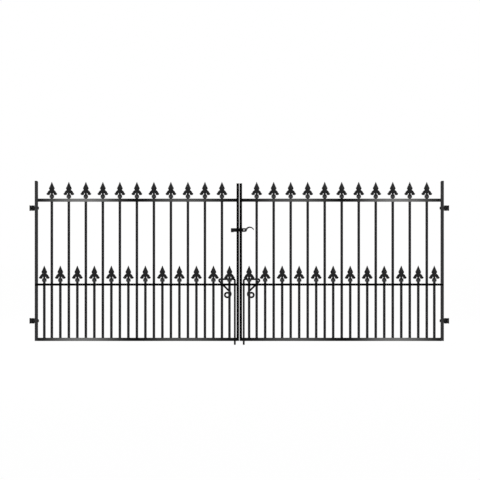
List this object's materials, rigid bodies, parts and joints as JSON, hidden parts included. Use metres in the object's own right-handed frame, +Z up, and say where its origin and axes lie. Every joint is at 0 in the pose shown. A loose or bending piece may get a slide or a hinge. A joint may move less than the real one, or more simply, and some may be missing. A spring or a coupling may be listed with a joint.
{
  "type": "pair of spear-topped iron driveway gates",
  "caption": "Double-leaf iron gate with spear-headed bars, dog bars below a middle rail, a lift-over latch and scrolled drop bolts.",
  "frame": {"origin": "middle of the back face of the lower left hinge plate, on the face of the left post", "axes": "+X from the left post to the right post, +Y into the drive, the way the leaves open, +Z up"},
  "size_m": [2.438, 0.0599, 0.956],
  "materials": {
    "black_frame": "satin black paint",
    "black_bars": "satin black paint",
    "black_castings": "black paint over a cast skin",
    "black_fittings": "satin black paint"
  },
  "bodies": {
    "post_brackets": {"left_lower_bracket": "black_fittings", "left_upper_bracket": "black_fittings", "left_lower_pin": "black_fittings", "left_upper_pin": "black_fittings", "right_lower_bracket": "black_fittings", "right_upper_bracket": "black_fittings", "right_lower_pin": "black_fittings", "right_upper_pin": "black_fittings"},
    "left_leaf": {"left_hinge_stile": "black_frame", "left_stile_cap": "black_frame", "left_meeting_stile": "black_frame", "left_top_rail": "black_frame", "left_mid_rail": "black_frame", "left_bottom_rail": "black_frame", "left_tall_bars": "black_bars", "left_dog_bars": "black_bars", "left_tall_heads": "black_castings", "left_dog_heads": "black_castings", "left_eye_bolts": "black_fittings", "left_eye_nuts": "black_fittings", "left_bolt_guides": "black_fittings", "latch_keeper": "black_fittings"},
    "right_leaf": {"right_hinge_stile": "black_frame", "right_stile_cap": "black_frame", "right_meeting_stile": "black_frame", "right_top_rail": "black_frame", "right_mid_rail": "black_frame", "right_bottom_rail": "black_frame", "right_tall_bars": "black_bars", "right_dog_bars": "black_bars", "right_tall_heads": "black_castings", "right_dog_heads": "black_castings", "right_eye_bolts": "black_fittings", "right_eye_nuts": "black_fittings", "right_bolt_guides": "black_fittings", "latch_pivot": "black_fittings"},
    "left_bolt": {"left_drop_bolt": "black_fittings"},
    "right_bolt": {"right_drop_bolt": "black_fittings"},
    "latch": {"latch_arm": "black_fittings"}
  },
  "joints": [
    {"name": "left_leaf_swing", "type": "hinge", "parent": "post_brackets", "child": "left_leaf", "pos_m": [0.018, 0, 0], "axis": [0, 0, 1], "range_deg": [0, 90]},
    {"name": "right_leaf_swing", "type": "hinge", "parent": "post_brackets", "child": "right_leaf", "pos_m": [2.42, 0, 0], "axis": [0, 0, -1], "range_deg": [0, 90]},
    {"name": "left_bolt_lift", "type": "slide", "parent": "left_leaf", "child": "left_bolt", "axis": [0, 0, 1], "range_m": [0, 0.025]},
    {"name": "right_bolt_lift", "type": "slide", "parent": "right_leaf", "child": "right_bolt", "axis": [0, 0, 1], "range_m": [0, 0.025]},
    {"name": "latch_lift", "type": "hinge", "parent": "right_leaf", "child": "latch", "pos_m": [1.22775, 0.015, 0.529], "axis": [0, 1, 0], "range_deg": [0, 75]}
  ]
}
